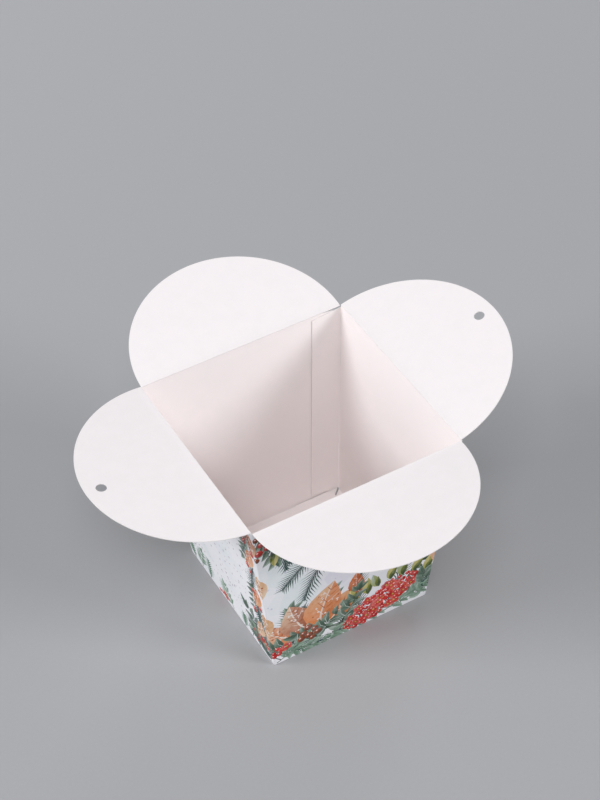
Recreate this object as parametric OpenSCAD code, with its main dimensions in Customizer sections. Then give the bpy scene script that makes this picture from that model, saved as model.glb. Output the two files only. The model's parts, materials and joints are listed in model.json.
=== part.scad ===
// Candy box: one die-cut card blank, folded into an open square box that
// tapers downwards, with four round petals that fold over its mouth.
// Millimetres, +Z up. The origin is the centre of the base, on the table.
// The front wall faces -Y, the right wall +X, the back wall +Y, the left -X.

/* [Box] */
// Width of a wall at the rim crease, over the outer faces
rim_w = 90; // [70:1:140]
// Width of the base, over the outer faces
base_w = 70; // [50:1:70]
// Height of the rim crease of the front and back walls
rim_h = 92; // [60:1:140]
// Thickness of the card
card = 0.35; // [0.25:0.05:0.6]

/* [Petals] */
// Free width between a petal's edge and the inner face of the wall beside it
petal_clear = 0.25; // [0.15:0.05:1]
// How far the round bead of a crease stands proud of each side of the card
crease_bulge = 0.03; // [0.02:0.01:0.1]
// Gap between a wall's top edge and the round bead of its crease
crease_gap = 0.05; // [0.03:0.01:0.2]
// Distance from a petal's corner to the end of its bead
bead_end_in = 0.4; // [0.2:0.1:2]
// Gap between the lower and the upper pair of petals when all are closed
stack_gap = 0.1; // [0.05:0.05:0.5]
// Angle of the front petal above level, as it stands open
front_petal_angle = 5; // [-20:0.5:60]
// Angle of the right petal above level, as it stands open
right_petal_angle = 16; // [-20:0.5:60]
// Angle of the back petal above level, as it stands open
back_petal_angle = 12.5; // [-20:0.5:60]
// Angle of the left petal above level, as it stands open
left_petal_angle = 7; // [-20:0.5:60]

/* [Ribbon holes] */
// Diameter of the ribbon hole in the left and right petals
ribbon_hole_d = 4.2; // [3:0.1:8]
// Distance of the ribbon hole's centre from the petal's tip
ribbon_hole_in = 6.5; // [5:0.5:15]

/* [Glue flap] */
// Width of the flap that is glued inside the back wall
glue_flap_w = 13.5; // [8:0.5:20]
// Bevel of the glue flap at its two ends
glue_flap_bevel = 1; // [0.5:0.5:6]
// Distance from the rim crease down to the glue flap
glue_flap_top_gap = 0.6; // [0.5:0.1:3]

/* [Bottom flaps] */
// Gap between the end of a bottom flap's fold and the wall beside it
flap_side_gap = 0.2; // [0.2:0.1:2]
// Depth of the slanted relief at both ends of a bottom flap's fold
flap_relief = 3; // [2:0.5:8]
// Length of the two side flaps from their folds
side_flap_len = 30; // [15:1:32]
// Slant of the side flaps' edges, from the relief to the free edge
side_flap_slant = 6; // [0:1:12]
// Gap between the innermost flap's free edge and the back wall
floor_slit = 0.3; // [0.2:0.1:3]
// Width of the lock notch in the innermost flap's free edge
lock_notch_w = 28; // [15:1:35]
// Depth of the lock notch
lock_notch_depth = 1.6; // [0.5:0.1:5]
// Size of the cut corners on the innermost flap
flap_corner_cut = 2; // [0.5:0.5:6]

/* [Hidden] */

// Turn about +Z that brings the front wall to each side
front_side_angle = 0;
right_side_angle = 90;
back_side_angle = 180;
left_side_angle = 270;

// A wall leans outwards by this angle; its length runs up the slope.
spread = (rim_w - base_w) / 2;
lean = atan(spread / rim_h);
wall_len = sqrt(pow(rim_h, 2) + pow(spread, 2));
// Card measured level across a leaning wall
card_level = card / cos(lean);

// The left and right petals fold one card higher, so they close on top.
pair_step = card + stack_gap;
half_card = card / 2;
bead_r = half_card + crease_bulge;
petal_r = rim_w / 2 - card_level - petal_clear;

// The crease axis lies in the middle of the card.
crease_out = rim_w / 2 - half_card * cos(lean);
crease_z = rim_h + half_card * sin(lean);

// The bottom flaps lie over each other between the walls' inner faces.
floor_layers = 3;
floor_half = base_w / 2 - card_level;
flap_root_half = floor_half - flap_side_gap;
flap_half = flap_root_half - flap_relief;

INSIDE = [0.95, 0.94, 0.95];
PRINTED = [0.87, 0.88, 0.89];

$fn = 96;

// A wall's own frame: x along the base, y up the slope, z = 0 on its outer
// face and positive outwards.
module on_wall(side_angle) {
    rotate([0, 0, side_angle])
        translate([0, -base_w / 2, 0])
            rotate([90 + lean, 0, 0])
                children();
}

// A sheet of card that lies against a wall, depth deep behind its outer face.
module sheet(outline, depth) {
    translate([0, 0, -depth - card])
        linear_extrude(height = card)
            polygon(outline);
}

// One trapezoid wall; rise is how far its crease stands above the lower pair's.
module wall(side_angle, rise) {
    top = wall_len + rise - bead_r - crease_gap;
    half_base = base_w / 2;
    half_top = half_base + spread * top / wall_len;
    on_wall(side_angle)
        sheet([[-half_base, 0], [half_base, 0], [half_top, top], [-half_top, top]], 0);
}

// The flap folded from the right wall and glued to the inside of the back wall.
module glue_flap() {
    low = floor_layers * card;
    high = wall_len - glue_flap_top_gap;
    // The corner crease runs to the wall frame's -x side, seen from outside.
    corner_low = -base_w / 2 - spread * low / wall_len;
    corner_high = -base_w / 2 - spread * high / wall_len;
    on_wall(back_side_angle)
        sheet([
            [corner_low + card, low],
            [corner_low + glue_flap_w, low + glue_flap_bevel],
            [corner_high + glue_flap_w, high - glue_flap_bevel],
            [corner_high + card, high]
        ], card);
}

// A bottom flap's own frame: y runs from the wall's inner face across the
// floor, and layer counts the cards under it.
module on_floor(side_angle, layer) {
    rotate([0, 0, side_angle])
        translate([0, -floor_half, layer * card])
            linear_extrude(height = card)
                children();
}

// How far a flap's root reaches into the leaning wall at its layer
function root_depth(layer) =
    (layer + 1) * card * tan(lean) + (card_level - card * tan(lean)) / 2;

// A flap's outline: its fold, the slanted reliefs at its two ends, and then
// the points of its free edge, listed from +x to -x.
function flap_outline(layer, free_edge) = concat(
    [
        [-flap_root_half, -root_depth(layer)],
        [flap_root_half, -root_depth(layer)],
        [flap_root_half, 0],
        [flap_half, flap_relief]
    ],
    free_edge,
    [[-flap_half, flap_relief], [-flap_root_half, 0]]
);

// The outermost bottom flap covers the base up to the other flaps' reliefs.
module back_flap() {
    far = 2 * floor_half - flap_side_gap - flap_relief;
    on_floor(back_side_angle, 0)
        polygon(flap_outline(0, [[flap_half, far], [-flap_half, far]]));
}

// A side flap covers less than half of the base.
module side_flap(side_angle) {
    tip = flap_half - side_flap_slant;
    on_floor(side_angle, 1)
        polygon(flap_outline(1, [[tip, side_flap_len], [-tip, side_flap_len]]));
}

// The innermost flap reaches the back wall but for a slit and the lock notch.
module front_flap() {
    far = 2 * floor_half - floor_slit;
    notch = lock_notch_w / 2;
    on_floor(front_side_angle, 2)
        polygon(flap_outline(2, [
            [flap_half, far - flap_corner_cut],
            [flap_half - flap_corner_cut, far],
            [notch, far],
            [notch - lock_notch_depth, far - lock_notch_depth],
            [lock_notch_depth - notch, far - lock_notch_depth],
            [-notch, far],
            [flap_corner_cut - flap_half, far],
            [-flap_half, far - flap_corner_cut]
        ]));
}

module body() {
    color(PRINTED)
        union() {
            wall(front_side_angle, 0);
            wall(back_side_angle, 0);
            wall(right_side_angle, pair_step);
            wall(left_side_angle, pair_step);
            glue_flap();
            back_flap();
            side_flap(left_side_angle);
            side_flap(right_side_angle);
            front_flap();
        }
}

// A petal's own frame: the crease is the x axis, the petal reaches to -y.
module on_crease(side_angle, rise, petal_angle) {
    rotate([0, 0, side_angle])
        translate([0, -crease_out - rise * sin(lean), crease_z + rise * cos(lean)])
            rotate([-petal_angle, 0, 0])
                children();
}

// Half a disc of card with a round bead along its crease.
module petal_blank() {
    intersection() {
        cylinder(r = petal_r, h = card, center = true);
        translate([-petal_r, -petal_r, -card])
            cube([2 * petal_r, petal_r, 2 * card]);
    }
    rotate([0, 90, 0])
        cylinder(r = bead_r, h = 2 * (petal_r - bead_end_in), center = true);
}

module plain_petal(side_angle, petal_angle) {
    color(INSIDE)
        on_crease(side_angle, 0, petal_angle)
            petal_blank();
}

module holed_petal(side_angle, petal_angle) {
    color(INSIDE)
        on_crease(side_angle, pair_step, petal_angle)
            difference() {
                petal_blank();
                translate([0, ribbon_hole_in - petal_r, 0])
                    cylinder(d = ribbon_hole_d, h = 3 * card, center = true);
            }
}

module front_petal() {
    plain_petal(front_side_angle, front_petal_angle);
}

module back_petal() {
    plain_petal(back_side_angle, back_petal_angle);
}

module right_petal() {
    holed_petal(right_side_angle, right_petal_angle);
}

module left_petal() {
    holed_petal(left_side_angle, left_petal_angle);
}

body();
front_petal();
right_petal();
back_petal();
left_petal();
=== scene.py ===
"""The looks of a folded card candy box: one printed, die-cut sheet with four petals.

Lengths are in millimetres until a mesh is made, and then in metres. The card is drawn flat, as the blank
that it was cut from: x runs round the walls and v up them, seen from the printed side. The print is cut
into that flat sheet, and the sheet is then folded into the box.
"""

import json
import math
import random
from collections import namedtuple

import bpy
import numpy as np
from mathutils import Matrix, Vector
from mathutils.geometry import delaunay_2d_cdt


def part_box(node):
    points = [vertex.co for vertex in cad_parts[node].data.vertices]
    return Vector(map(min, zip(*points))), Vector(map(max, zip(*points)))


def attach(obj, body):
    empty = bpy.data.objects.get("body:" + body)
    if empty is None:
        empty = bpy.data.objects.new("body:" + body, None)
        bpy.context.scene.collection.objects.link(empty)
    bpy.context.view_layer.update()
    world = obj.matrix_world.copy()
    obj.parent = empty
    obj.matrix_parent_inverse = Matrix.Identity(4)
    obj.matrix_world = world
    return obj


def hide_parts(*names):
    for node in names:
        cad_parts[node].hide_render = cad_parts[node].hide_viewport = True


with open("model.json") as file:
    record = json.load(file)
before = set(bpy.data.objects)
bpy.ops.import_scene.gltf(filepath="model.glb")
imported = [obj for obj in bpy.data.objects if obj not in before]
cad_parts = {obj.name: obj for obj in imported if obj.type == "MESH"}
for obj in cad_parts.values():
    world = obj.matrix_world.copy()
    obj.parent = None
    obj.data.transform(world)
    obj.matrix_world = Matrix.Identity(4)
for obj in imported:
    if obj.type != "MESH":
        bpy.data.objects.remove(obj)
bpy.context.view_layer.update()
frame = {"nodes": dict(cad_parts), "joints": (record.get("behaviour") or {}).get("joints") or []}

# Card and creases; over the last of its length a wall's inner face is drawn up by the lip
MM = 0.001
CARD = 0.35
BEAD_R = 0.205
CREASE_GAP = 0.05
INNER_LIP = 0.035
LIP_LEN = 3.0
FOLD_R = 0.55
LAYER_GAP = 0.02
BOW = 0.18
SHARP_ANGLE = math.radians(50)

# Glue flap and the slit of the crease beside it
GLUE_FLAP_W = 13.5
GLUE_FLAP_BEVEL = 1.0
GLUE_FLAP_TOP_GAP = 0.6
GLUE_FLAP_FREE = 0.03
GLUE_FLAP_FOOT = 0.1
CREASE_SLIT_LEN = 7.0
CREASE_SLIT_DEPTH = 1.15

# Bottom flaps
FLAP_SIDE_GAP = 0.2
FLAP_RELIEF = 3.0
SIDE_FLAP_LEN = 30.0
SIDE_FLAP_SLANT = 6.0
FLOOR_SLIT = 0.3
LOCK_NOTCH_W = 28.0
LOCK_NOTCH_DEPTH = 1.6
FLAP_CORNER_CUT = 2.0
FLOOR_LAYERS = 3

# Ribbon holes
HOLE_R = 2.1
HOLE_FROM_TIP = 6.5

# Fineness of the meshes; points closer than the weld become one
ARC_STEPS = 128
HOLE_STEPS = 40
BEAD_STEPS = 6
BEAD_LINES = (0.08, 0.14)
WALL_GRID = 4.0
PETAL_GRID = 6.0
WELD = 0.0005

# Allowances for rounding
ON_TABLE = 1e-5
ON_CREASE = 1e-4
PARALLEL = 1e-12
SHORTEST = 1e-6
TINY = 1e-9

# What the frame says of the box
JOINTS = {j["child"]: j for j in frame["joints"]}
CREASE_AT = {body: Vector(j["pos_m"]) / MM for body, j in JOINTS.items()}
PETAL_ANGLE = {body: math.radians(180 - j["range_deg"][1]) for body, j in JOINTS.items()}
PETAL_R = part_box("front_petal")[1].x / MM
BASE_HALF = max(abs(v.co.x) for v in frame["nodes"]["body"].data.vertices if v.co.z < ON_TABLE) / MM
CREASE_OUT = -CREASE_AT["front_petal"].y
LEAN = math.atan2(CREASE_OUT + CARD / 2 - BASE_HALF, CREASE_AT["front_petal"].z)
WALL_LEN = CREASE_AT["front_petal"].z / math.cos(LEAN) - CARD / 2 * math.tan(LEAN)
PAIR_STEP = (CREASE_AT["right_petal"].z - CREASE_AT["front_petal"].z) / math.cos(LEAN)
WALL_TOP = WALL_LEN - BEAD_R - CREASE_GAP

# The flat blank, on which all walls are drawn as wide as the base
BACK, LEFT, FRONT, RIGHT = -2, -1, 0, 1
BASE_W = 2 * BASE_HALF
FLAP_LAYER = {BACK: 0, LEFT: 1, FRONT: 2, RIGHT: 1}
WALL_RISE = {BACK: 0.0, LEFT: PAIR_STEP, FRONT: 0.0, RIGHT: PAIR_STEP}
BLANK_LEFT = (BACK - 0.5) * BASE_W
BLANK_RIGHT = (RIGHT + 0.5) * BASE_W
FOLD_TURN = math.pi / 2 - LEAN
FOLD_TANGENT = FOLD_R * math.tan(FOLD_TURN / 2)
CORNER_SPAN = FOLD_R * math.pi / 4
CORNER_FOOT = 0.15
INNER_HALF = BASE_HALF - CARD / math.cos(LEAN)
ROOT_HALF = INNER_HALF - FLAP_SIDE_GAP
FLAP_HALF = ROOT_HALF - FLAP_RELIEF
ROOT_V = INNER_HALF - BASE_HALF
RELIEF_V = ROOT_V - FLAP_RELIEF

# Colours, as linear values
PAPER = (0.88, 0.85, 0.86)
WHITE = (0.932, 0.843, 0.818)
EDGE_LIGHT = (0.88, 0.82, 0.79)
EDGE_DARK = (0.70, 0.65, 0.62)
FLOOR_GREY = (0.390, 0.378, 0.376)
LIGHT_TINT = (0.955, 1.003, 1.058)
TEAL = (0.012, 0.052, 0.052)
LEAF_DARK = (0.015, 0.060, 0.035)
SAGE = (0.11, 0.22, 0.14)
PALE_SAGE = (0.36, 0.48, 0.36)
OLIVE = (0.30, 0.31, 0.03)
GOLD = (0.76, 0.58, 0.10)
CRIMSON = (0.32, 0.004, 0.008)
RED = (0.60, 0.010, 0.012)
CORAL = (0.80, 0.060, 0.040)
BLUSH = (0.90, 0.52, 0.45)
ORANGE = (0.74, 0.21, 0.05)
TAN = (0.72, 0.41, 0.21)
PALE_TAN = (0.82, 0.62, 0.45)
RUST = (0.42, 0.09, 0.025)
BROWN = (0.08, 0.033, 0.025)
HAZE = (0.52, 0.48, 0.66)
PLUM = (0.26, 0.17, 0.24)
AQUA = (0.50, 0.68, 0.66)

# The part of a noise's range that holds nearly all of its values
NOISE_RANGE = (0.3, 0.7)


def mix(a, b, t):
    """The colour a share t of the way from a to b."""
    return tuple(p + (q - p) * t for p, q in zip(a, b))


# Folding


def profile(v, rise):
    """Outward place, height and normal of the printed face at v; rise is how far a bottom flap climbs."""
    sin_l, cos_l = math.sin(LEAN), math.cos(LEAN)
    turn = np.clip((FOLD_TANGENT - v) / (2 * FOLD_TANGENT), 0, 1) * FOLD_TURN
    centre_out = BASE_HALF + FOLD_TANGENT * sin_l - FOLD_R * cos_l
    climb = np.clip((-v - FOLD_TANGENT) / (-RELIEF_V - FOLD_TANGENT), 0, 1)
    out = centre_out + FOLD_R * np.cos(LEAN + turn)
    out = np.where(v < -FOLD_TANGENT, BASE_HALF + v, out)
    out = np.where(v > FOLD_TANGENT, BASE_HALF + v * sin_l, out)
    z = np.where(v > FOLD_TANGENT, v * cos_l, FOLD_R - FOLD_R * np.sin(LEAN + turn))
    z = z + rise * climb * climb * (3 - 2 * climb)
    return out, z, np.cos(LEAN + turn), -np.sin(LEAN + turn)


def bow(x, v):
    """How far a wall's middle stands out from its flat plane."""
    across = np.clip(1 - (x / BASE_HALF) ** 2, 0, 1)
    return BOW * across * np.sin(np.pi * np.clip(v / WALL_LEN, 0, 1)) ** 2


def per_wall(wall, values):
    """The value of each point's wall."""
    return np.select([wall == k for k in values], list(values.values()))


def fold_box(flat, printed):
    """Places flat points of the blank on the box's printed face or its inner face."""
    wall = np.clip(np.round(flat[:, 0] / BASE_W), BACK, RIGHT)
    x = flat[:, 0] - wall * BASE_W
    v = flat[:, 1]
    if not printed:
        lip = (v - WALL_TOP - per_wall(wall, WALL_RISE)) / LIP_LEN + 1
        v = v + INNER_LIP * np.clip(lip, 0, 1) * (x < BASE_HALF + CORNER_SPAN)
    rise = per_wall(wall, {k: n * (CARD + LAYER_GAP) for k, n in FLAP_LAYER.items()})
    out, z, n_out, n_z = profile(v, rise)
    half = profile(np.maximum(v, 0), 0)[0]
    edge = BASE_HALF - CORNER_SPAN
    # At the seam the right wall's fold tucks in behind the back wall, whose own edge stays straight.
    glued = (wall == RIGHT) & (x > 0)
    free = (wall == BACK) & (x < 0)
    half_x = np.where(glued, half - CARD - GLUE_FLAP_FREE, half)
    turn = np.clip((np.abs(x) - edge) / CORNER_SPAN, 0, 2) * math.pi / 4
    turn = np.where(free, 0, turn)
    straight = np.clip(x, -edge, edge) * (half_x - FOLD_R) / edge
    straight = np.where(free, x * half / BASE_HALF, straight)
    px = straight + np.sign(x) * FOLD_R * np.sin(turn)
    py = out - FOLD_R + FOLD_R * np.cos(turn) - np.maximum(x - BASE_HALF - CORNER_SPAN, 0)
    flap = x > BASE_HALF + CORNER_SPAN
    py = py + np.where(flap, 0, bow(x, v) * np.cos(turn))
    px = px + np.where(flap, bow(2 * BASE_HALF - x, v), 0)
    if not printed:
        px = px - CARD * n_out * np.sin(turn) * np.sign(x)
        py = py - CARD * n_out * np.cos(turn)
        z = z - CARD * n_z
    angle = wall * math.pi / 2
    cos_a, sin_a = np.round(np.cos(angle)), np.round(np.sin(angle))
    return np.stack([px * cos_a + py * sin_a, px * sin_a - py * cos_a, z], 1)


def fold_petal(body, side_angle):
    """Functions that place a petal's flat points, x along its crease and y to its tip, and its bead."""
    cos_a, sin_a = round(math.cos(side_angle)), round(math.sin(side_angle))
    along = np.array([cos_a, sin_a, 0.0])
    out = np.array([sin_a, -cos_a, 0.0])
    up = np.array([0.0, 0.0, 1.0])
    angle = PETAL_ANGLE[body]
    reach = out * math.cos(angle) + up * math.sin(angle)
    normal = up * math.cos(angle) - out * math.sin(angle)
    origin = np.array(CREASE_AT[body])

    def place(flat, printed):
        y = flat[:, 1]
        half = np.where(y < BEAD_R, np.sqrt(np.maximum(BEAD_R**2 - y**2, 0)), 0)
        half = np.maximum(half, CARD / 2) * (-1 if printed else 1)
        return origin + flat[:, :1] * along + y[:, None] * reach + half[:, None] * normal

    def bead(x, turn):
        return origin + x * along - BEAD_R * math.sin(turn) * reach - BEAD_R * math.cos(turn) * normal

    return place, bead


# Print

NEEDLE_HALF = 0.27
CLUSTER_SPACING = 2.1

# A closed outline whose ink runs from low at start to high at end, each of red, green, blue and strength
Shape = namedtuple("Shape", "outline low high start end")


class Print:
    """Painted shapes, in the true millimetres of a wall or petal; later shapes lie over earlier ones."""

    def __init__(self, seed):
        self.shapes = []
        self.random = random.Random(seed)

    def add(self, points, low, high, start=None, end=None):
        """Adds a closed shape, whose ink runs from its first point to its middle unless told otherwise."""
        points = np.array(points, float)
        start = points[0] if start is None else np.array(start, float)
        end = points.mean(0) if end is None else np.array(end, float)
        self.shapes.append(Shape(points, (*low, 1.0)[:4], (*high, 1.0)[:4], start, end))

    def leaf(self, x, y, angle, length, width, dark, light, bend=0.15, rib=True):
        """A pointed leaf of two halves, one darker, and perhaps a pale rib."""
        steps = 7 if length > 9 else 6
        t = np.linspace(0, 1, steps)
        spine = np.stack([t * length, bend * length * np.sin(np.pi * t)], 1)
        swell = np.stack([0 * t, width / 2 * np.sin(np.pi * t**0.8) ** 0.9], 1)
        c, s = math.cos(angle), math.sin(angle)
        turn = np.array([[c, s], [-s, c]])
        middle = spine @ turn + (x, y)
        upper = (spine + swell) @ turn + (x, y)
        lower = (spine - swell) @ turn + (x, y)
        self.add(np.concatenate([middle, upper[-2:0:-1]]), dark, light, middle[0], middle[-1])
        deep, shade = mix(dark, BROWN, 0.2), mix(dark, light, 0.4)
        self.add(np.concatenate([middle, lower[-2:0:-1]]), deep, shade, middle[0], middle[-1])
        if rib:
            self.stem(middle[::2], 0.06 * width + 0.08, mix(light, PAPER, 0.45))

    def stem(self, points, width, colour):
        """A tapering line through the points."""
        points = np.array(points, float)
        along = np.gradient(points, axis=0)
        side = np.stack([-along[:, 1], along[:, 0]], 1) / np.linalg.norm(along, axis=1)[:, None]
        taper = np.linspace(1, 0.4, len(points))[:, None] * width / 2
        self.add(np.concatenate([points + side * taper, (points - side * taper)[::-1]]), colour, colour)

    def path(self, x, y, angle, length, bend, count):
        """Points of a gently curving stem, with its heading at each."""
        points = []
        step = length / (count - 1)
        for _ in range(count):
            points.append((x, y, angle))
            x += step * math.cos(angle)
            y += step * math.sin(angle)
            angle += bend / (count - 1)
        return points

    def sprig(self, x, y, angle, length, leaf, dark, light, bend=0.4, pairs=5, width=0.45):
        """A stem with pairs of leaves and one at its tip."""
        path = self.path(x, y, angle, length, bend, pairs + 2)
        self.stem([p[:2] for p in path], 0.5, mix(dark, BROWN, 0.4))
        for i, (px, py, heading) in enumerate(path[1:]):
            size = leaf * (1 - 0.35 * i / pairs) * self.random.uniform(0.85, 1.1)
            for side in (-1, 1):
                lean = heading + side * self.random.uniform(0.6, 0.95)
                tint = self.random.uniform(0, 0.3)
                root, tip = mix(dark, light, tint), mix(light, PAPER, tint)
                self.leaf(px, py, lean, size, size * width, root, tip, rib=size > 7)
        px, py, heading = path[-1]
        self.leaf(px, py, heading, leaf * 0.8, leaf * 0.8 * width, dark, light, rib=False)

    def frond(self, x, y, angle, length, reach, colour, bend, count):
        """A pine frond: a thin stem with long and short needles on both sides."""
        path = self.path(x, y, angle, length, bend, count)
        self.stem([p[:2] for p in path], 0.7, mix(colour, BROWN, 0.6))
        # Each needle's side, its spread from the stem and its share of the full length
        needles = ((-1, 0.85, 1.0), (1, 0.85, 1.0), (-1, 0.5, 0.75), (1, 0.5, 0.75))
        for i, (px, py, heading) in enumerate(path[1:-1]):
            size = reach * math.sin(math.pi * (0.25 + 0.7 * i / count))
            for side, spread, share in needles:
                long = size * share * self.random.uniform(0.8, 1.15)
                lean = heading + side * (spread - 0.25 * i / count)
                tip = (px + long * math.cos(lean), py + long * math.sin(lean))
                nx, ny = -math.sin(lean) * NEEDLE_HALF, math.cos(lean) * NEEDLE_HALF
                mx = px + (0.4 * (tip[0] - px) - side * nx)
                my = py + (0.4 * (tip[1] - py) - side * ny)
                tone = mix(colour, SAGE, self.random.uniform(0, 0.6))
                outline = [(px, py), (mx - nx, my - ny), tip, (mx + nx, my + ny)]
                self.add(outline, colour, tone, (px, py), tip)

    def disc(self, x, y, r, low, high, count=10):
        """A round spot, high at its upper left and low at its lower right."""
        a = np.arange(count) * 2 * math.pi / count
        ring = np.stack([x + r * np.cos(a), y + r * np.sin(a)], 1)
        self.add(ring, high, low, (x - 0.5 * r, y + 0.6 * r), (x + 0.6 * r, y - 0.7 * r))

    def berry(self, x, y, r, low=CRIMSON, high=CORAL):
        """A round berry with a highlight."""
        self.disc(x, y, r, low, high)
        self.disc(x - 0.3 * r, y + 0.35 * r, 0.28 * r, BLUSH, mix(BLUSH, PAPER, 0.7), 5)

    def blossom(self, x, y, r, low, high, turn):
        """A five-petalled flower with a yellow middle."""
        b = np.arange(9) * 2 * math.pi / 9
        across, along = 0.43 * r * np.sin(b), 0.5 * r * np.cos(b) + 0.55 * r
        for i in range(5):
            a = turn + i * 2 * math.pi / 5
            c, s = math.cos(a), math.sin(a)
            petal = np.stack([x + along * c - across * s, y + along * s + across * c], 1)
            tip = mix(high, BLUSH, self.random.uniform(0, 0.35))
            self.add(petal, low, tip, (x, y), (x + r * c, y + r * s))
        self.disc(x, y, 0.2 * r, OLIVE, GOLD, 7)

    def bud(self, x, y, angle, length, tip=GOLD):
        """A long bud that pales to its tip, with one sepal."""
        self.leaf(x, y, angle, length, length * 0.42, OLIVE, mix(tip, PAPER, 0.3), 0.03, rib=False)
        self.leaf(x, y, angle - 0.25, length * 0.7, length * 0.24, LEAF_DARK, OLIVE, 0.08, rib=False)

    def broad_leaf(self, x, y, angle, length, low=ORANGE, high=TAN, width=0.62):
        """A broad dry leaf with side veins and spots."""
        width *= length
        self.leaf(x, y, angle, length, width, low, high, 0.06)
        along = np.array([math.cos(angle), math.sin(angle)])
        across = np.array([-math.sin(angle), math.cos(angle)])
        for i in range(1, 7):
            t = i / 7.5
            root = np.array([x, y]) + t * length * along
            reach = 0.42 * width * math.sin(math.pi * t**0.8)
            for side in (-1, 1):
                way = along * math.cos(0.75) + side * across * math.sin(0.75)
                tone = mix(low, RUST, 0.8) if (i + side) % 3 else mix(high, PAPER, 0.5)
                self.stem([root + q * reach * way for q in (0, 0.6, 1)], 0.4, tone)
        for _ in range(int(length * 0.7)):
            t, q = self.random.uniform(0.15, 0.8), self.random.uniform(-0.3, 0.3) * width
            spot = np.array([x, y]) + t * length * along + q * across
            pale = self.random.random() < 0.7
            tone = mix(high, PAPER, self.random.uniform(0.4, 0.9)) if pale else RUST
            self.disc(*spot, self.random.uniform(0.3, 0.65), tone, tone, 6)

    def wash(self, x, y, r, colour, strength):
        """A ragged pool of thin colour in two steps."""
        for share, ink in ((1.0, 0.45), (0.7, 1.0)):
            a = np.arange(14) * 2 * math.pi / 14
            reach = r * share * np.array([self.random.uniform(0.8, 1.15) for _ in a])
            ring = np.stack([x + reach * np.cos(a), y + reach * np.sin(a)], 1)
            ends = (*colour, strength * ink), (*colour, strength * ink * 0.5)
            self.add(ring, *ends, (x - r, y + r), (x + r, y - r))

    def cluster(self, x, y, reach_x, reach_y, tilt, count):
        """A dense oval of small blossoms, berries and pale flecks."""
        spots = []
        c, s = math.cos(tilt), math.sin(tilt)
        for _ in range(60 * count):
            a, q = self.random.uniform(0, 2 * math.pi), math.sqrt(self.random.random())
            u, w = reach_x * q * math.cos(a), reach_y * q * math.sin(a)
            px, py = x + u * c - w * s, y + u * s + w * c
            clear = all(math.hypot(px - sx, py - sy) > CLUSTER_SPACING for sx, sy in spots)
            if len(spots) < count and clear:
                spots.append((px, py))
        for i, (px, py) in enumerate(spots):
            low = mix(CRIMSON, RED, self.random.random())
            high = mix(RED, CORAL, self.random.random())
            if i % 3 == 0:
                self.blossom(px, py, self.random.uniform(2.0, 2.8), low, high, self.random.uniform(0, 1))
            else:
                self.berry(px, py, self.random.uniform(1.0, 1.5), low, high)
        for px, py in spots[::3]:
            self.disc(px + 1.1, py + 0.8, self.random.uniform(0.25, 0.45), PAPER, BLUSH, 6)

    def sprinkle(self, low, high, count, colour=HAZE):
        """Small stars and dots between two corners."""
        for _ in range(count):
            x, y = self.random.uniform(low[0], high[0]), self.random.uniform(low[1], high[1])
            tone = mix(colour, PAPER, self.random.uniform(0.1, 0.8))
            if self.random.random() < 0.3:
                a = self.random.uniform(0, 1) + np.arange(10) * math.pi / 5
                r = self.random.uniform(0.6, 1.0) * np.where(np.arange(10) % 2, 0.42, 1)
                self.add(np.stack([x + r * np.cos(a), y + r * np.sin(a)], 1), tone, tone)
            else:
                self.disc(x, y, self.random.uniform(0.25, 0.55), tone, tone, 6)

    def mirrored(self):
        """The shapes, turned left to right."""
        flip = np.array([-1.0, 1.0])
        turned = []
        for s in self.shapes:
            outline = s.outline[::-1] * flip
            turned.append(s._replace(outline=outline, start=s.start * flip, end=s.end * flip))
        return turned


def garland_wall(seed):
    """The front and back walls: a full winter garland along the foot, and fronds hanging from the top."""
    p = Print(seed)
    garland_sky(p, p.random)
    garland_hanging(p, p.random)
    garland_leaves(p, p.random)
    garland_foot(p, p.random)
    return p


def garland_sky(p, r):
    """Washes and dots on the open paper."""
    washes = ((-30, 62, 14), (-24, 42, 13), (-4, 44, 12), (24, 62, 15), (34, 38, 10), (4, 80, 13))
    for x, y, size in washes:
        p.wash(x, y, size, r.choice((AQUA, AQUA, HAZE)), 0.3)
    p.sprinkle((-42, 38), (42, 90), 80)


def garland_hanging(p, r):
    """Fronds and berries that hang from the top."""
    left_fronds = ((-43, 91, -1.0, 24), (-33, 93, -1.5, 32), (-20, 93, -1.75, 30), (-6, 93, -1.3, 22))
    for x, y, a, length in left_fronds:
        p.frond(x, y, a, length, 8.5, TEAL, r.uniform(-0.5, 0.5), 17)
    for x, y, a, length in ((43, 90, -2.1, 28), (31, 93, -1.6, 32), (18, 93, -1.4, 24)):
        p.frond(x, y, a, length, 8.5, TEAL, r.uniform(-0.5, 0.5), 20)
    for x, y, a, length in ((-17, 64, -2.5, 21), (-13, 59, -2.1, 25)):
        p.frond(x, y, a, length, 8, TEAL, 0.3, 15)
    for x, y, a in ((-41, 92, -1.5), (-14, 93, -1.5), (38, 92, -1.9)):
        p.sprig(x, y, a, 22, 8, LEAF_DARK, PALE_SAGE, 0.4, 4)
    red = ((-41, 84), (-38.5, 80.5), (-38, 85), (-42, 79), (-35, 83), (40, 84), (37.5, 81), (26, 88))
    for x, y in red:
        p.berry(x, y, r.uniform(1.5, 2.0))
    for x, y in ((-43, 88), (-40.5, 88), (-38, 88), (-36, 86), (-34, 88), (-32, 86), (-43, 75)):
        p.berry(x, y, r.uniform(1.4, 2.0), BROWN, RUST)
    p.bud(-36, 76, -1.5, 9)
    p.bud(-31, 80, -1.1, 10)
    p.broad_leaf(35, 92, -2.0, 16, ORANGE, TAN)


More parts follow.
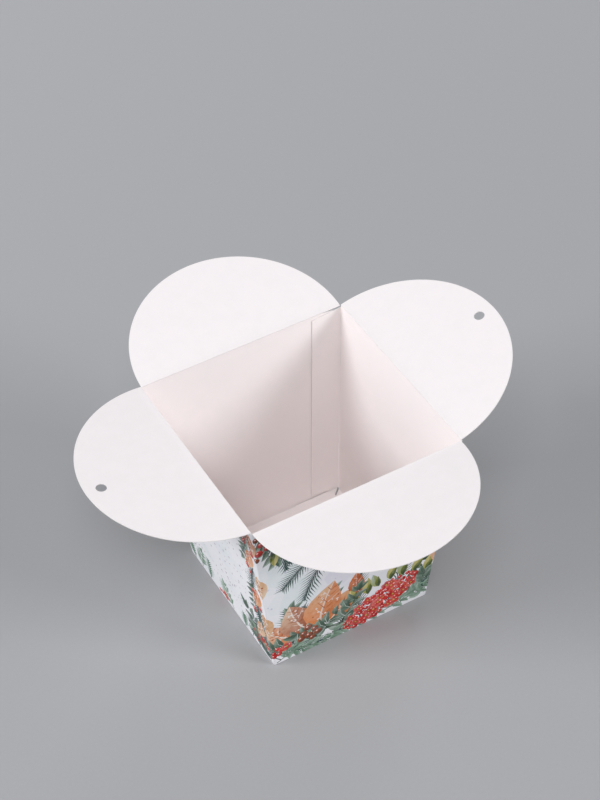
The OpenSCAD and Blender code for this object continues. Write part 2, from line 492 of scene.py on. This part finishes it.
def garland_leaves(p, r):
    """Fronds, sprigs, broad leaves and buds that stand up from the foot."""
    for x, a in ((-33, 2.1), (-26, 1.75), (-17, 1.6), (-5, 1.35), (4, 1.7), (16, 1.3)):
        p.frond(x, 6, a, r.uniform(26, 32), 8, r.choice((TEAL, LEAF_DARK)), r.uniform(-0.4, 0.4), 18)
    for x, a, light in ((-32, 2.3, SAGE), (-22, 1.9, PALE_SAGE), (0, 2.0, PALE_SAGE), (22, 1.0, SAGE)):
        p.sprig(x, 2, a, r.uniform(26, 32), 10, LEAF_DARK, light, r.uniform(-0.4, 0.4), 5, 0.42)
    fan = (
        (-26, 13, 2.35, 20, ORANGE),
        (-20, 14, 1.95, 24, RUST),
        (-10, 14, 0.8, 22, ORANGE),
        (-15, 13, 1.35, 28, ORANGE),
    )
    for x, y, a, length, low in fan:
        p.broad_leaf(x, y, a, length, low, mix(TAN, PALE_TAN, r.random()))
    p.broad_leaf(3, 24, 1.7, 15, RUST, ORANGE, 0.5)
    left_buds = ((2, 18, 1.9), (7, 20, 1.6), (12, 22, 1.9), (17, 23, 1.4))
    right_buds = ((23, 22, 1.6), (28, 21, 1.2), (34, 18, 1.35))
    for x, y, a in left_buds + right_buds:
        p.bud(x, y, a, r.uniform(10, 12), r.choice((GOLD, PALE_SAGE, GOLD)))


def garland_foot(p, r):
    """Low sprigs, blossoms and berries along the foot."""
    left_sprigs = ((-27, 9, 2.7, 18), (-20, 8, 0.5, 20), (-8, 9, 2.7, 18), (-6, 8, 1.0, 20))
    right_sprigs = ((28, 8, 0.5, 16), (34, 3, 1.5, 13))
    for x, y, a, length in left_sprigs + right_sprigs:
        p.sprig(x, y, a, length, 8.5, LEAF_DARK, mix(SAGE, PALE_SAGE, 0.6), 0.3, 3, 0.45)
    for x, y, a in ((-33, 7, 2.9), (-27, 5, -0.3), (-14, 6, 2.9), (-9, 5, -0.25), (30, 9, 0.3)):
        p.frond(x, y, a, 19, 6, TEAL, 0.4, 16)
    left_low = ((-34, 1, 0.5), (-33, 7, -0.5), (-24, 5, -0.4), (-12, 5, -0.3))
    right_low = ((4, 3, 0.1), (15, 3, 0.2), (23, 4, 0.2), (36, 3, 2.5))
    for x, y, a in left_low + right_low:
        p.sprig(x, y, a, 15, 6.5, SAGE, PALE_SAGE, 0.3, 3, 0.42)
    p.cluster(13, 11.5, 19, 7, 0.5, 84)
    p.cluster(-33, 9, 4, 3, 0.6, 6)
    for x, y in ((-22, 13), (-19.5, 10.5), (-17, 13.5), (-20, 16), (-15.5, 10.5), (-23, 10), (-18, 8)):
        p.berry(x, y, r.uniform(1.5, 2.1), BROWN, RUST)


def edge_wall(seed):
    """The left wall, or the right one mirrored: pale, with leaves down its edge beside the front."""
    p = Print(seed)
    r = p.random
    for x, y, size in ((-24, 70, 14), (-6, 50, 13), (-26, 34, 12), (12, 76, 12)):
        p.wash(x, y, size, r.choice((HAZE, AQUA)), 0.2)
    p.sprinkle((-42, 8), (37, 92), 420, PLUM)
    for x, y, a, length in ((41, 93, -1.9, 26), (38, 66, -2.0, 20), (36, 44, -2.0, 20), (33, 24, -2.3, 20)):
        p.frond(x, y, a, length, 6.5, TEAL, r.uniform(-0.4, 0.4), 16)
    p.sprig(37, 93, -1.75, 26, 7, LEAF_DARK, PALE_SAGE, -0.2, 5, 0.4)
    p.sprig(35, 54, -2.0, 22, 7, LEAF_DARK, SAGE, 0.3, 4, 0.4)
    upper_leaves = ((41, 90, -1.6), (38, 76, -1.95), (40, 63, -1.6))
    lower_leaves = ((36, 50, -1.9), (37, 36, -1.6), (32, 25, -2.0))
    for x, y, a in upper_leaves + lower_leaves:
        p.broad_leaf(x, y, a, 15, r.choice((ORANGE, RUST, TAN)), mix(TAN, PALE_TAN, r.random()), 0.42)
    for x, y in ((36, 82), (35, 79), (40, 76), (33, 63), (34.5, 60), (32, 46), (35, 37), (29, 31)):
        p.berry(x, y, r.uniform(1.2, 1.7))
    edge_foot(p, r)
    return p


def edge_foot(p, r):
    """Small fronds and sprigs along the foot of a pale wall."""
    for x, a in ((-31, 1.9), (-18, 1.3), (-4, 1.7), (12, 1.4), (24, 1.7)):
        p.frond(x, 1, a, r.uniform(9, 15), 5, r.choice((SAGE, PALE_SAGE)), r.uniform(-0.4, 0.4), 12)
    for x, a in ((-25, 1.4), (2, 1.8), (18, 1.2)):
        p.sprig(x, 1, a, 12, 6, SAGE, PALE_SAGE, r.uniform(-0.3, 0.3), 3, 0.4)
    p.cluster(26, 8, 7, 4, 0.5, 12)
    p.sprig(33, 1, 2.3, 15, 6.5, LEAF_DARK, PALE_SAGE, 0.2, 3, 0.42)
    p.frond(34, 3, 2.8, 16, 5, TEAL, 0.3, 13)
    p.cluster(-6, 3, 4, 1.5, 0.1, 3)


def petal_print(seed):
    """The underside of a petal: pale stars and dots round a small spray."""
    p = Print(seed)
    r = p.random
    p.wash(-14, 20, 12, AQUA, 0.4)
    p.wash(14, 18, 12, HAZE, 0.3)
    p.sprinkle((-44, 2), (44, 44), 150)
    for x, a in ((-4, 2.6), (2, 0.5), (-2, 1.9), (1, 1.2)):
        p.frond(x, 12, a, r.uniform(18, 22), 6, TEAL, r.uniform(-0.4, 0.4), 14)
    p.sprig(-3, 12, 2.2, 18, 7, LEAF_DARK, PALE_SAGE, -0.3, 4)
    p.sprig(3, 12, 0.9, 18, 7, TEAL, SAGE, 0.3, 4)
    p.broad_leaf(-2, 12, 1.8, 14)
    p.broad_leaf(1, 11, 0.2, 13, RUST, ORANGE)
    p.cluster(0, 12, 5, 4, 0.0, 10)
    return p


def on_blank(shapes, wall):
    """Moves a wall's shapes, in true millimetres, to the blank, where all walls are as wide as the base."""

    def flat(points):
        stretch = BASE_HALF / (BASE_HALF + np.maximum(points[..., 1], 0) * math.sin(LEAN))
        return np.stack([points[..., 0] * stretch + wall * BASE_W, points[..., 1]], -1)

    return [s._replace(outline=flat(s.outline), start=flat(s.start), end=flat(s.end)) for s in shapes]


# Cutting flat sheets into triangles


def inside(points, polygon):
    """Which points lie inside a closed polygon."""
    x, y = points[:, 0], points[:, 1]
    hit = np.zeros(len(points), bool)
    for (x0, y0), (x1, y1) in zip(polygon, np.roll(polygon, -1, axis=0)):
        if y0 != y1:
            hit ^= ((y0 > y) != (y1 > y)) & (x < (x1 - x0) * (y - y0) / (y1 - y0) + x0)
    return hit


def triangulate(loops, lines, points):
    """Triangles of the region inside the first loop and outside the others, with lines kept as edges."""
    verts, edges = [], []
    for loop in loops:
        n = len(verts)
        verts += [tuple(p) for p in loop]
        edges += [(n + i, n + (i + 1) % len(loop)) for i in range(len(loop))]
    for line in lines:
        n = len(verts)
        verts += [tuple(p) for p in line]
        edges += [(n + i, n + i + 1) for i in range(len(line) - 1)]
    verts += [tuple(p) for p in points]
    co, _, faces, *_ = delaunay_2d_cdt([Vector(v) for v in verts], edges, [], 0, WELD, False)
    co = np.array([tuple(c) for c in co])
    faces = np.array([tuple(f) for f in faces])
    middle = co[faces].mean(1)
    keep = inside(middle, np.array(loops[0]))
    for hole in loops[1:]:
        keep &= ~inside(middle, np.array(hole))
    faces = faces[keep]
    a, b, c = co[faces[:, 0]], co[faces[:, 1]], co[faces[:, 2]]
    area = (b[:, 0] - a[:, 0]) * (c[:, 1] - a[:, 1]) - (b[:, 1] - a[:, 1]) * (c[:, 0] - a[:, 0])
    faces[area < 0] = faces[area < 0][:, ::-1]
    return co, faces


def owners(co, faces, shapes):
    """For each triangle, the number of the topmost shape over it, or -1 where the paper is bare."""
    middle = co[faces].mean(1)
    order = np.argsort(middle[:, 0])
    middle = middle[order]
    found = np.full(len(faces), -1)
    for i, shape in enumerate(shapes):
        low, high = shape.outline.min(0), shape.outline.max(0)
        a, b = np.searchsorted(middle[:, 0], (low[0], high[0]))
        near = a + np.nonzero((middle[a:b, 1] >= low[1]) & (middle[a:b, 1] <= high[1]))[0]
        found[near[inside(middle[near], shape.outline)]] = i
    owner = np.empty_like(found)
    owner[order] = found
    return owner


def all_edges(faces):
    """The three edges of every triangle, in the triangle's own direction."""
    return np.concatenate([faces[:, [0, 1]], faces[:, [1, 2]], faces[:, [2, 0]]])


def visible_edges(loops, shapes):
    """The stretches of the shapes' outlines that no later shape covers."""
    co, faces = triangulate(loops, [np.vstack([s.outline, s.outline[:1]]) for s in shapes], [])
    beside = np.tile(owners(co, faces, shapes), 3)
    edges = np.sort(all_edges(faces), axis=1)
    order = np.lexsort((edges[:, 1], edges[:, 0]))
    edges, beside = edges[order], beside[order]
    shared = (edges[1:] == edges[:-1]).all(1) & (beside[1:] != beside[:-1])
    return list(co[edges[1:][shared]])


def paint(co, faces, shapes):
    """Ink colour and strength at each corner of each triangle."""
    owner = owners(co, faces, shapes)
    order = np.argsort(owner, kind="stable")
    bounds = np.searchsorted(owner[order], np.arange(len(shapes) + 1))
    ink = np.zeros((len(faces), 3, 4))
    ink[..., :3] = PAPER
    for shape, a, b in zip(shapes, bounds, bounds[1:]):
        mine = order[a:b]
        axis = shape.end - shape.start
        t = np.clip(((co[faces[mine]] - shape.start) @ axis) / max(axis @ axis, TINY), 0, 1)[..., None]
        ink[mine] = np.array(shape.low) * (1 - t) + np.array(shape.high) * t
    return ink


def rim_edges(faces):
    """Directed edges that only one triangle has."""
    have = set(map(tuple, all_edges(faces).tolist()))
    return [(a, b) for a, b in have if (b, a) not in have]


def rim_loops(rim, co):
    """The rim's edges as closed loops of points, the outermost first."""
    follow = dict(rim)
    loops = []
    while follow:
        at = min(follow)
        loop = []
        while at in follow:
            loop.append(at)
            at = follow.pop(at)
        loops.append(co[loop])
    return sorted(loops, key=lambda loop: -np.ptp(loop[:, 0]))


# Card meshes

# The material slots of a card mesh
PRINTED, INNER, CUT = 0, 1, 2


def rim_faces(rim, inner, beads):
    """Faces between the two sides of the card: straight cuts, or the round bead of a petal's crease."""
    faces, materials = [], []
    for a, b in rim:
        if a in beads and b in beads:
            for k in range(BEAD_STEPS):
                faces.append((beads[b][k], beads[a][k], beads[a][k + 1], beads[b][k + 1]))
                materials.append(INNER if k >= BEAD_STEPS / 2 else PRINTED)
        else:
            faces.append((b, a, inner[a], inner[b]))
            materials.append(CUT)
    for a, b in rim:
        if (a in beads) != (b in beads):
            ring = beads[a][::-1] if a in beads else beads[b]
            faces.append(tuple(ring))
            materials.append(CUT)
    return faces, materials


def rim_partners(rim_verts, co, inner_co, inner_faces):
    """For each rim vertex of the printed face, the number of the inner face's vertex behind it."""
    inner_rim = np.array(sorted({a for a, _ in rim_edges(inner_faces)}))
    partners = {}
    for v in rim_verts:
        partners[v] = len(co) + int(inner_rim[np.abs(inner_co[inner_rim] - co[v]).sum(1).argmin()])
    return partners


def bead_rings(rim_verts, co, inner, first, bead):
    """The vertices round the bead at each point of a petal's crease, with the new ones' places."""
    rings, points = {}, []
    for v in rim_verts:
        if abs(co[v, 1]) < ON_CREASE:
            number = first + len(points)
            points += [bead(co[v, 0], math.pi * k / BEAD_STEPS) for k in range(1, BEAD_STEPS)]
            rings[v] = [v, *range(number, number + BEAD_STEPS - 1), inner[v]]
    return rings, points


def store_ink(mesh, ink):
    """Keeps the ink of the printed face's corners, which come first, and plain paper at the others."""
    colours = np.zeros((len(mesh.loops), 4), np.float32)
    colours[:, :3] = PAPER
    colours[: ink.size // 4] = ink.reshape(-1, 4)
    mesh.color_attributes.new("ink", "FLOAT_COLOR", "CORNER").data.foreach_set("color", colours.ravel())


def link_mesh(name, mesh):
    """Puts a mesh into the scene as an object."""
    obj = bpy.data.objects.new(name, mesh)
    bpy.context.scene.collection.objects.link(obj)
    return obj


def card_mesh(name, loops, lines, points, shapes, place, bead=None):
    """A closed sheet of card: printed face, inner face and cut edges, each with its own material."""
    co, faces = triangulate(loops, lines + visible_edges(loops, shapes), points)
    rim = rim_edges(faces)
    rim_verts = sorted({a for a, _ in rim})
    inner_co, inner_faces = triangulate(rim_loops(rim, co), lines, points)
    inner = rim_partners(rim_verts, co, inner_co, inner_faces)
    beads, bead_points = {}, []
    if bead:
        beads, bead_points = bead_rings(rim_verts, co, inner, len(co) + len(inner_co), bead)
    edge_faces, edge_materials = rim_faces(rim, inner, beads)
    polys = [tuple(f) for f in faces.tolist()]
    polys += [tuple(len(co) + v for v in f[::-1]) for f in inner_faces.tolist()]
    polys += edge_faces
    xyz = np.concatenate([place(co, True), place(inner_co, False), np.array(bead_points).reshape(-1, 3)])
    used = sorted({v for poly in polys for v in poly})
    number = {v: i for i, v in enumerate(used)}
    mesh = bpy.data.meshes.new(name)
    mesh.from_pydata((xyz[used] * MM).tolist(), [], [tuple(number[v] for v in poly) for poly in polys])
    materials = [PRINTED] * len(faces) + [INNER] * len(inner_faces) + edge_materials
    mesh.polygons.foreach_set("material_index", materials)
    store_ink(mesh, paint(co, faces, shapes))
    mesh.shade_smooth()
    mesh.set_sharp_from_angle(angle=SHARP_ANGLE)
    return link_mesh(name, mesh)


def flap_outline(wall):
    """A bottom flap's outline on the blank, from its left corner round by its free edge."""
    c = wall * BASE_W
    if wall == BACK:
        far = ROOT_V - 2 * INNER_HALF + FLAP_SIDE_GAP + FLAP_RELIEF
        half_edge = [(FLAP_HALF, far)]
    elif wall == FRONT:
        far = ROOT_V - 2 * INNER_HALF + FLOOR_SLIT
        notch = LOCK_NOTCH_W / 2
        half_edge = [
            (notch - LOCK_NOTCH_DEPTH, far + LOCK_NOTCH_DEPTH),
            (notch, far),
            (FLAP_HALF - FLAP_CORNER_CUT, far),
            (FLAP_HALF, far + FLAP_CORNER_CUT),
        ]
    else:
        half_edge = [(FLAP_HALF - SIDE_FLAP_SLANT, ROOT_V - SIDE_FLAP_LEN)]
    half = half_edge + [(FLAP_HALF, RELIEF_V), (ROOT_HALF, ROOT_V), (ROOT_HALF, CORNER_FOOT)]
    return [(c - x, v) for x, v in half[::-1]] + [(c + x, v) for x, v in half]


def blank_outline():
    """The box's blank without its petals: glue flap, rim and bottom flaps."""
    low = FLOOR_LAYERS * (CARD + LAYER_GAP) + GLUE_FLAP_FOOT
    high = WALL_LEN - GLUE_FLAP_TOP_GAP
    edge = BLANK_RIGHT + GLUE_FLAP_W
    outline = [(BLANK_RIGHT, low), (edge, low + GLUE_FLAP_BEVEL), (edge, high - GLUE_FLAP_BEVEL)]
    outline.append((BLANK_RIGHT, high))
    for wall in (RIGHT, FRONT, LEFT, BACK):
        level = WALL_TOP + WALL_RISE[wall]
        outline += [((wall + 0.5) * BASE_W, level), ((wall - 0.5) * BASE_W, level)]
    outline[-1:] = [(BLANK_LEFT + CREASE_SLIT_LEN, WALL_TOP), (BLANK_LEFT, WALL_TOP - CREASE_SLIT_DEPTH)]
    outline.append((BLANK_LEFT, CORNER_FOOT))
    for wall in (BACK, LEFT, FRONT, RIGHT):
        outline += flap_outline(wall)
    return outline + [(BLANK_RIGHT, CORNER_FOOT)]


def clip_line(p, q, loop):
    """The parts of a straight line that lie inside a loop."""
    p, q, loop = np.array(p, float), np.array(q, float), np.array(loop)
    cuts = [0.0, 1.0]
    d = q - p
    for a, b in zip(loop, np.roll(loop, -1, axis=0)):
        e = b - a
        across = d[0] * e[1] - d[1] * e[0]
        if abs(across) > PARALLEL:
            w = a - p
            t = (w[0] * e[1] - w[1] * e[0]) / across
            s = (w[0] * d[1] - w[1] * d[0]) / across
            if 0 < t < 1 and -TINY <= s <= 1 + TINY:
                cuts.append(t)
    cuts = sorted(set(np.round(cuts, 9)))
    spans = [(t0, t1) for t0, t1 in zip(cuts, cuts[1:]) if t1 - t0 > SHORTEST]
    spans = [(t0, t1) for t0, t1 in spans if inside((p + d * (t0 + t1) / 2)[None], loop)[0]]
    return [[tuple(p + d * t0), tuple(p + d * t1)] for t0, t1 in spans]


def fold_lines(outline):
    """Lines across the blank where its folds bend, so that triangles don't cut across them."""
    lines = []
    # The lines start and end outside the blank, and are clipped to it.
    bottom, top = CORNER_FOOT - 0.001, WALL_LEN + 5
    left, right = BLANK_LEFT - 1, BLANK_RIGHT + 20
    for corner in (BACK + 0.5, LEFT + 0.5, FRONT + 0.5, RIGHT + 0.5):
        for share in (-1, -0.5, 0, 0.5, 1):
            x = corner * BASE_W + share * CORNER_SPAN
            lines += clip_line((x, bottom), (x, top), outline)
    levels = [share * FOLD_TANGENT for share in (1, 0.5, 0, -0.5, -1)]
    levels += [-FOLD_TANGENT + (RELIEF_V + FOLD_TANGENT) * share for share in (0.25, 0.5, 0.75, 1)]
    levels += [WALL_TOP - LIP_LEN, WALL_TOP + PAIR_STEP - LIP_LEN]
    for v in levels:
        lines += clip_line((left, v), (right, v), outline)
    return lines


def grid_points(outline, spacing):
    """Points inside an outline, spacing apart."""
    low, high = np.min(outline, axis=0), np.max(outline, axis=0)
    xs = np.arange(low[0] + spacing / 2, high[0], spacing)
    ys = np.arange(low[1] + spacing / 2, high[1], spacing)
    points = np.stack(np.meshgrid(xs, ys), -1).reshape(-1, 2)
    return points[inside(points, np.array(outline))]


# Materials


class Material:
    """A node material, with short ways to add the nodes used here."""

    def __init__(self, name):
        self.material = bpy.data.materials.new(name)
        self.material.use_nodes = True
        self.tree = self.material.node_tree
        self.shader = self.tree.nodes["Principled BSDF"]

    def put(self, value, socket):
        """Links a socket to another, or sets it to a plain colour or number."""
        if isinstance(value, tuple):
            socket.default_value = (*value, 1)
        elif isinstance(value, (int, float)):
            socket.default_value = value
        else:
            self.tree.links.new(value, socket)

    def noise(self, scale, detail, rough=0.5):
        """Noise on the object's own coordinates, scale in features a metre."""
        coords = self.tree.nodes.new("ShaderNodeTexCoord")
        n = self.tree.nodes.new("ShaderNodeTexNoise")
        self.put(coords.outputs["Object"], n.inputs["Vector"])
        self.put(scale, n.inputs["Scale"])
        self.put(detail, n.inputs["Detail"])
        self.put(rough, n.inputs["Roughness"])
        return n.outputs["Fac"]

    def spread(self, value, low, high, out_low, out_high):
        """Maps a value from one range to another."""
        n = self.tree.nodes.new("ShaderNodeMapRange")
        for name, v in (("Value", value), ("From Min", low), ("From Max", high)):
            self.put(v, n.inputs[name])
        self.put(out_low, n.inputs["To Min"])
        self.put(out_high, n.inputs["To Max"])
        return n.outputs["Result"]

    def mix(self, factor, a, b, kind="MIX"):
        """Mixes two colours."""
        n = self.tree.nodes.new("ShaderNodeMix")
        n.data_type = "RGBA"
        n.blend_type = kind
        # In this node inputs 6 and 7 and output 2 are the colours.
        self.put(factor, n.inputs[0])
        self.put(a, n.inputs[6])
        self.put(b, n.inputs[7])
        return n.outputs[2]

    def speckle(self, colour, value, low, high):
        """A colour made lighter and darker by a value."""
        n = self.tree.nodes.new("ShaderNodeCombineColor")
        for socket in n.inputs[:3]:
            self.put(self.spread(value, *NOISE_RANGE, low, high), socket)
        return self.mix(1.0, colour, n.outputs[0], "MULTIPLY")

    def bump(self, layers):
        """Chains bump layers of height, distance in metres and strength."""
        last = None
        for height, distance, strength in layers:
            n = self.tree.nodes.new("ShaderNodeBump")
            self.put(height, n.inputs["Height"])
            self.put(distance, n.inputs["Distance"])
            self.put(strength, n.inputs["Strength"])
            if last:
                self.put(last, n.inputs["Normal"])
            last = n.outputs["Normal"]
        self.put(last, self.shader.inputs["Normal"])


def printed_card():
    """The printed face: watercolour inks under a thin satin varnish."""
    m = Material("printed_card")
    ink = m.tree.nodes.new("ShaderNodeVertexColor")
    ink.layer_name = "ink"
    blots = m.noise(420, 5, 0.6)
    grain = m.noise(5200, 2)
    paper = m.mix(m.spread(m.noise(55, 3, 0.55), 0.52, 0.72, 0.0, 0.26), PAPER, AQUA)
    paper = m.mix(m.spread(m.noise(33, 2), 0.55, 0.75, 0.0, 0.14), paper, HAZE)
    pigment = m.mix(m.spread(blots, 0.50, 0.78, 0.0, 0.20), ink.outputs["Color"], PAPER)
    deeper = m.mix(1.0, pigment, pigment, "MULTIPLY")
    pigment = m.mix(m.spread(blots, 0.30, 0.48, 0.40, 0.0), pigment, deeper)
    base = m.mix(ink.outputs["Alpha"], paper, pigment)
    m.put(m.speckle(base, grain, 0.95, 1.03), m.shader.inputs["Base Color"])
    m.put(m.spread(blots, *NOISE_RANGE, 0.40, 0.50), m.shader.inputs["Roughness"])
    m.put(0.2, m.shader.inputs["Specular IOR Level"])
    m.bump([(m.noise(22, 2), 0.0012, 0.2), (grain, 0.00002, 0.35)])
    return m.material


def white_card():
    """The bare inner face: smooth white board with a faint fibre mottle."""
    m = Material("white_card")
    cloud = m.noise(160, 4, 0.6)
    fibre = m.noise(2600, 3, 0.6)
    tone = m.mix(m.spread(cloud, 0.35, 0.65, 0.0, 1.0), WHITE, mix(WHITE, EDGE_LIGHT, 0.35))
    m.put(m.speckle(tone, fibre, 0.985, 1.01), m.shader.inputs["Base Color"])
    m.put(m.spread(cloud, *NOISE_RANGE, 0.55, 0.65), m.shader.inputs["Roughness"])
    m.put(0.3, m.shader.inputs["Specular IOR Level"])
    m.bump([(m.noise(18, 2), 0.0012, 0.15), (fibre, 0.00003, 0.3)])
    return m.material


def cut_edge():
    """The cut edge of the card: its raw core, with the layers' streaks."""
    m = Material("card_cut_edge")
    streak = m.noise(3500, 3, 0.7)
    core = m.mix(m.spread(streak, *NOISE_RANGE, 0.0, 1.0), EDGE_LIGHT, EDGE_DARK)
    m.put(core, m.shader.inputs["Base Color"])
    m.put(0.85, m.shader.inputs["Roughness"])
    m.put(0.2, m.shader.inputs["Specular IOR Level"])
    m.bump([(streak, 0.00004, 0.6)])
    return m.material


# The object

MATERIALS = (printed_card(), white_card(), cut_edge())


def dress(obj, body, node):
    """Gives a card piece its materials and its place in the frame."""
    for material in MATERIALS:
        obj.data.materials.append(material)
    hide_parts(node)
    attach(obj, body)


def make_box():
    """The walls, glue flap and bottom flaps, folded from one blank."""
    shapes = on_blank(garland_wall(1).shapes, FRONT)
    shapes += on_blank(garland_wall(4).shapes, BACK)
    shapes += on_blank(edge_wall(2).shapes, LEFT)
    shapes += on_blank(edge_wall(3).mirrored(), RIGHT)
    outline = blank_outline()
    points = grid_points(outline, WALL_GRID)
    box = card_mesh("card_box", [outline], fold_lines(outline), points, shapes, fold_box)
    dress(box, "box", "body")


def make_petal(body, side_angle, seed, holed):
    """One half-round petal, with a bead along its crease and perhaps a ribbon hole."""
    turns = np.linspace(0, math.pi, ARC_STEPS + 1)
    arc = [(PETAL_R * math.cos(a), PETAL_R * math.sin(a)) for a in turns]
    arc[-1] = (-PETAL_R, 0.0)
    loops = [arc]
    if holed:
        centre = PETAL_R - HOLE_FROM_TIP
        turns = np.linspace(0, 2 * math.pi, HOLE_STEPS + 1)[:-1]
        loops.append([(HOLE_R * math.cos(a), centre + HOLE_R * math.sin(a)) for a in turns])
    lines = []
    for y in BEAD_LINES:
        lines += clip_line((-PETAL_R - 1, y), (PETAL_R + 1, y), arc)
    place, bead = fold_petal(body, side_angle)
    points = grid_points(arc, PETAL_GRID)
    petal = card_mesh(f"card_{body}", loops, lines, points, petal_print(seed).shapes, place, bead)
    dress(petal, body, body)


make_box()
make_petal("front_petal", 0.0, 11, False)
make_petal("right_petal", math.pi / 2, 12, True)
make_petal("back_petal", math.pi, 13, False)
make_petal("left_petal", 3 * math.pi / 2, 14, True)

# Floor, light and camera

# The camera's azimuth is from +Y towards +X, and its pitch is below level.
CAMERA_AT = (-0.2608, -0.5077, 0.6572)
CAMERA_AZIMUTH = math.radians(27.28)
CAMERA_PITCH = math.radians(44.35)
CAMERA_ROLL = math.radians(-3.24)
CAMERA_LENS = 95.3
CAMERA_SENSOR = 36
CAMERA_REACH = 50
FLOOR_HALF = 6.0
# Painted light on the floor: how much paler it is painted towards the back, and between which places along
# +Y, in metres, it grows paler
FLOOR_PAINTED_LIGHT = 1.18
FLOOR_PAINTED_LIGHT_FROM = 0.05
FLOOR_PAINTED_LIGHT_TO = 0.45
LAMP_DISTANCE = 3.0
LAMP_SIZE = 1.0
LOOK_AT = Vector((0, 0, 0.06))
# Each lamp's azimuth from +X and elevation, in degrees, and its watts
LAMPS = {
    "right_softbox": (-52, 24, 43.0),
    "left_softbox": (165, 31, 43.5),
    "low_left_softbox": (180, 10, 16.5),
    "front_fill": (-120, 55, 31.5),
    "back_fill": (45, 10, 19.0),
}
WORLD_STRENGTH = 0.25


def make_floor():
    """The plain floor that the box stands on, with painted light that makes it a little paler towards the
    back.
    """
    corners = [(x * FLOOR_HALF, y * FLOOR_HALF, 0) for x, y in ((-1, -1), (1, -1), (1, 1), (-1, 1))]
    mesh = bpy.data.meshes.new("floor")
    mesh.from_pydata(corners, [], [(0, 1, 2, 3)])
    obj = link_mesh("floor", mesh)
    m = Material("floor")
    coords = m.tree.nodes.new("ShaderNodeTexCoord")
    axes = m.tree.nodes.new("ShaderNodeSeparateXYZ")
    m.put(coords.outputs["Object"], axes.inputs[0])
    # Painted light: the floor's colour grows paler towards the back.
    back = m.spread(axes.outputs["Y"], FLOOR_PAINTED_LIGHT_FROM, FLOOR_PAINTED_LIGHT_TO, 0.0, 1.0)
    tone = m.mix(back, FLOOR_GREY, tuple(FLOOR_PAINTED_LIGHT * c for c in FLOOR_GREY))
    m.put(m.speckle(tone, m.noise(900, 2), 0.99, 1.01), m.shader.inputs["Base Color"])
    m.put(0.9, m.shader.inputs["Roughness"])
    m.put(0.1, m.shader.inputs["Specular IOR Level"])
    mesh.materials.append(m.material)


def make_lamp(name, azimuth, elevation, watts):
    """A square softbox that looks at the box from a direction."""
    data = bpy.data.lights.new(name, "AREA")
    data.size = LAMP_SIZE
    data.energy = watts
    data.color = LIGHT_TINT
    a, e = math.radians(azimuth), math.radians(elevation)
    direction = Vector((math.cos(e) * math.cos(a), math.cos(e) * math.sin(a), math.sin(e)))
    obj = bpy.data.objects.new(name, data)
    obj.location = LOOK_AT + direction * LAMP_DISTANCE
    obj.rotation_euler = (-direction).to_track_quat("-Z", "Y").to_euler()
    bpy.context.scene.collection.objects.link(obj)


def make_camera():
    """The camera where the photograph was taken, with a small roll."""
    data = bpy.data.cameras.new("camera")
    data.lens = CAMERA_LENS
    data.sensor_width = CAMERA_SENSOR
    data.clip_end = CAMERA_REACH
    obj = bpy.data.objects.new("camera", data)
    level = math.cos(CAMERA_PITCH)
    x, y = math.sin(CAMERA_AZIMUTH) * level, math.cos(CAMERA_AZIMUTH) * level
    forward = Vector((x, y, -math.sin(CAMERA_PITCH)))
    right = forward.cross(Vector((0, 0, 1))).normalized()
    right = right * math.cos(CAMERA_ROLL) + right.cross(forward) * math.sin(CAMERA_ROLL)
    turned = Matrix((right, right.cross(forward), -forward)).transposed()
    obj.matrix_world = Matrix.Translation(CAMERA_AT) @ turned.to_4x4()
    bpy.context.scene.collection.objects.link(obj)
    bpy.context.scene.camera = obj


def make_world():
    """Plain even light from all round."""
    world = bpy.data.worlds.new("world")
    bpy.context.scene.world = world
    world.use_nodes = True
    background = world.node_tree.nodes["Background"]
    background.inputs["Color"].default_value = (*LIGHT_TINT, 1)
    background.inputs["Strength"].default_value = WORLD_STRENGTH


make_floor()
make_world()
make_camera()
for lamp, (azimuth, elevation, watts) in LAMPS.items():
    make_lamp(lamp, azimuth, elevation, watts)
bpy.context.scene.view_settings.view_transform = "Standard"
